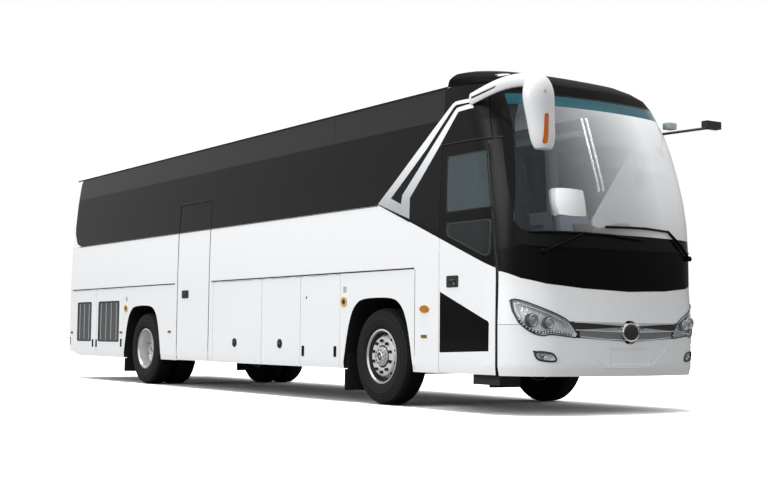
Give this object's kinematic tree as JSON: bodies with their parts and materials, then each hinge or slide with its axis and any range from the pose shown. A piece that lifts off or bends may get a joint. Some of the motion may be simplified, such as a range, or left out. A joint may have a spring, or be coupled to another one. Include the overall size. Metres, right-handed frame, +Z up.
{
  "type": "coach bus",
  "caption": "Long single-deck coach with a front and a middle passenger door, luggage flaps, steered front wheels and twin rear wheels.",
  "frame": {"origin": "on the ground, midway between the ends of the whole bus and between its sides", "axes": "+X forward, +Y to the bus's left, +Z up"},
  "size_m": [12.2721, 2.9785, 3.575],
  "materials": {
    "white_paint": "gloss white coach paint",
    "black_gloss": "gloss black panel",
    "tinted_glass": "dark tinted glass",
    "clear_lamp": "clear lamp cover",
    "red_lamp": "red lamp cover",
    "bright_metal": "bright trim with dark bars",
    "grey_floor": "ribbed grey floor covering",
    "bare_aluminium": "plain sheet",
    "black_steel": "black chassis paint",
    "cast_steel": "cast and machined",
    "engine_grey": "painted casting",
    "black_rubber": "matt rubber",
    "black_plastic": "grained plastic",
    "dark_plastic": "grained plastic",
    "trim_panel": "grained trim",
    "seat_cloth": "woven seat cloth",
    "tyre": "road rubber",
    "wheel_steel": "polished wheel"
  },
  "bodies": {
    "coach": {"side_wall_right": "white_paint", "side_wall_left": "white_paint", "front_bumper": "white_paint", "front_panel": "white_paint", "front_mask": "black_gloss", "windscreen": "tinted_glass", "front_lamps": "clear_lamp", "grille_strip": "bright_metal", "rear_wall": "white_paint", "saloon_glass": "tinted_glass", "tail_lamps": "red_lamp", "roof_panel": "white_paint", "roof_front_cap": "black_gloss", "air_conditioner": "white_paint", "floor_deck": "grey_floor", "entry_steps": "grey_floor", "luggage_hold": "bare_aluminium", "chassis_frame": "black_steel", "front_axle_beam": "black_steel", "dashboard": "dark_plastic", "seats": "seat_cloth", "rear_axle": "cast_steel", "engine": "engine_grey", "air_springs": "black_rubber", "tanks": "bare_aluminium", "wheel_arch_liners": "black_plastic", "mud_flaps": "black_rubber", "mirrors": "white_paint", "wipers": "black_plastic", "luggage_racks": "trim_panel"},
    "luggage_door_right_rear": {"luggage_door_right_rear": "white_paint"},
    "luggage_door_right_front": {"luggage_door_right_front": "white_paint"},
    "service_door_right": {"service_door_right": "white_paint"},
    "luggage_door_left_rear": {"luggage_door_left_rear": "white_paint"},
    "luggage_door_left_front": {"luggage_door_left_front": "white_paint"},
    "service_door_left": {"service_door_left": "white_paint"},
    "radiator_door_front": {"radiator_door_front": "white_paint"},
    "radiator_door_rear": {"radiator_door_rear": "white_paint"},
    "engine_door_left": {"engine_door_left": "white_paint"},
    "engine_door_rear": {"engine_door_rear": "white_paint"},
    "front_door_arm": {"front_door_arm": "black_steel"},
    "front_door": {"front_door": "white_paint", "front_door_glass": "tinted_glass"},
    "mid_door_arm": {"mid_door_arm": "black_steel"},
    "mid_door": {"mid_door": "white_paint", "mid_door_glass": "tinted_glass"},
    "knuckle_right": {"knuckle_right": "cast_steel"},
    "front_wheel_right": {"front_tyre_right": "tyre", "front_wheel_right": "wheel_steel"},
    "rear_wheels_right": {"rear_tyres_right": "tyre", "rear_wheels_right": "wheel_steel"},
    "knuckle_left": {"knuckle_left": "cast_steel"},
    "front_wheel_left": {"front_tyre_left": "tyre", "front_wheel_left": "wheel_steel"},
    "rear_wheels_left": {"rear_tyres_left": "tyre", "rear_wheels_left": "wheel_steel"},
    "tie_rod": {"tie_rod": "cast_steel"},
    "steering_wheel": {"steering_wheel": "black_plastic"}
  },
  "joints": [
    {"name": "luggage_door_right_rear_hinge", "type": "hinge", "parent": "coach", "child": "luggage_door_right_rear", "pos_m": [0.03, -1.275, 1.41], "axis": [-1, 0, 0], "range_deg": [0, 85]},
    {"name": "luggage_door_right_front_hinge", "type": "hinge", "parent": "coach", "child": "luggage_door_right_front", "pos_m": [1.19, -1.275, 1.41], "axis": [-1, 0, 0], "range_deg": [0, 85]},
    {"name": "service_door_right_hinge", "type": "hinge", "parent": "coach", "child": "service_door_right", "pos_m": [2.114, -1.275, 1.41], "axis": [-1, 0, 0], "range_deg": [0, 85]},
    {"name": "luggage_door_left_rear_hinge", "type": "hinge", "parent": "coach", "child": "luggage_door_left_rear", "pos_m": [-1.04, 1.275, 1.41], "axis": [1, 0, 0], "range_deg": [0, 85]},
    {"name": "luggage_door_left_front_hinge", "type": "hinge", "parent": "coach", "child": "luggage_door_left_front", "pos_m": [0.94, 1.275, 1.41], "axis": [1, 0, 0], "range_deg": [0, 85]},
    {"name": "service_door_left_hinge", "type": "hinge", "parent": "coach", "child": "service_door_left", "pos_m": [2.114, 1.275, 1.41], "axis": [1, 0, 0], "range_deg": [0, 85]},
    {"name": "radiator_door_front_hinge", "type": "hinge", "parent": "coach", "child": "radiator_door_front", "pos_m": [-4.247, -1.275, 1.41], "axis": [-1, 0, 0], "range_deg": [0, 85]},
    {"name": "radiator_door_rear_hinge", "type": "hinge", "parent": "coach", "child": "radiator_door_rear", "pos_m": [-5.4, -1.275, 1.41], "axis": [-1, 0, 0], "range_deg": [0, 85]},
    {"name": "engine_door_left_hinge", "type": "hinge", "parent": "coach", "child": "engine_door_left", "pos_m": [-4.9, 1.275, 1.41], "axis": [1, 0, 0], "range_deg": [0, 85]},
    {"name": "engine_door_rear_hinge", "type": "hinge", "parent": "coach", "child": "engine_door_rear", "pos_m": [-6.1211, 0, 1.964], "axis": [0, 1, 0], "range_deg": [0, 80]},
    {"name": "front_door_arm_turn", "type": "hinge", "parent": "coach", "child": "front_door_arm", "pos_m": [5.1, -0.92, 1], "axis": [0, 0, 1], "range_deg": [0, 90]},
    {"name": "front_door_turn", "type": "hinge", "parent": "front_door_arm", "child": "front_door", "pos_m": [4.5, -1.17, 1], "axis": [0, 0, 1], "range_deg": [-90, 0]},
    {"name": "mid_door_arm_turn", "type": "hinge", "parent": "coach", "child": "mid_door_arm", "pos_m": [-1.535, -0.92, 1], "axis": [0, 0, -1], "range_deg": [0, 90]},
    {"name": "mid_door_turn", "type": "hinge", "parent": "mid_door_arm", "child": "mid_door", "pos_m": [-0.935, -1.17, 1], "axis": [0, 0, -1], "range_deg": [-90, 0]},
    {"name": "steer_right", "type": "hinge", "parent": "coach", "child": "knuckle_right", "pos_m": [3.31, -0.93, 0.515], "axis": [0, 0, 1], "range_deg": [-38, 38]},
    {"name": "steer_left", "type": "hinge", "parent": "coach", "child": "knuckle_left", "pos_m": [3.31, 0.93, 0.515], "axis": [0, 0, 1], "range_deg": [-38, 38]},
    {"name": "tie_rod_turn", "type": "hinge", "parent": "knuckle_right", "child": "tie_rod", "pos_m": [3.09, -0.93, 0.4], "axis": [0, 0, 1], "range_deg": [-38, 38]},
    {"name": "steering_wheel_turn", "type": "hinge", "parent": "coach", "child": "steering_wheel", "pos_m": [4.9, 0.62, 1.8], "axis": [-0.5, 0, 0.866], "range_deg": [-684, 684]},
    {"name": "front_wheel_right_spin", "type": "hinge", "parent": "knuckle_right", "child": "front_wheel_right", "pos_m": [3.31, -1.086, 0.515], "axis": [0, 1, 0], "continuous": true},
    {"name": "rear_wheels_right_spin", "type": "hinge", "parent": "coach", "child": "rear_wheels_right", "pos_m": [-2.98, -1.086, 0.515], "axis": [0, 1, 0], "continuous": true},
    {"name": "front_wheel_left_spin", "type": "hinge", "parent": "knuckle_left", "child": "front_wheel_left", "pos_m": [3.31, 1.086, 0.515], "axis": [0, 1, 0], "continuous": true},
    {"name": "rear_wheels_left_spin", "type": "hinge", "parent": "coach", "child": "rear_wheels_left", "pos_m": [-2.98, 1.086, 0.515], "axis": [0, 1, 0], "continuous": true}
  ],
  "couplings": [
    {"joint": "front_door_turn", "follows": "front_door_arm_turn", "ratio": -1},
    {"joint": "mid_door_turn", "follows": "mid_door_arm_turn", "ratio": -1},
    {"joint": "steer_left", "follows": "steer_right", "ratio": 1},
    {"joint": "tie_rod_turn", "follows": "steer_right", "ratio": -1},
    {"joint": "steering_wheel_turn", "follows": "steer_right", "ratio": 18}
  ]
}
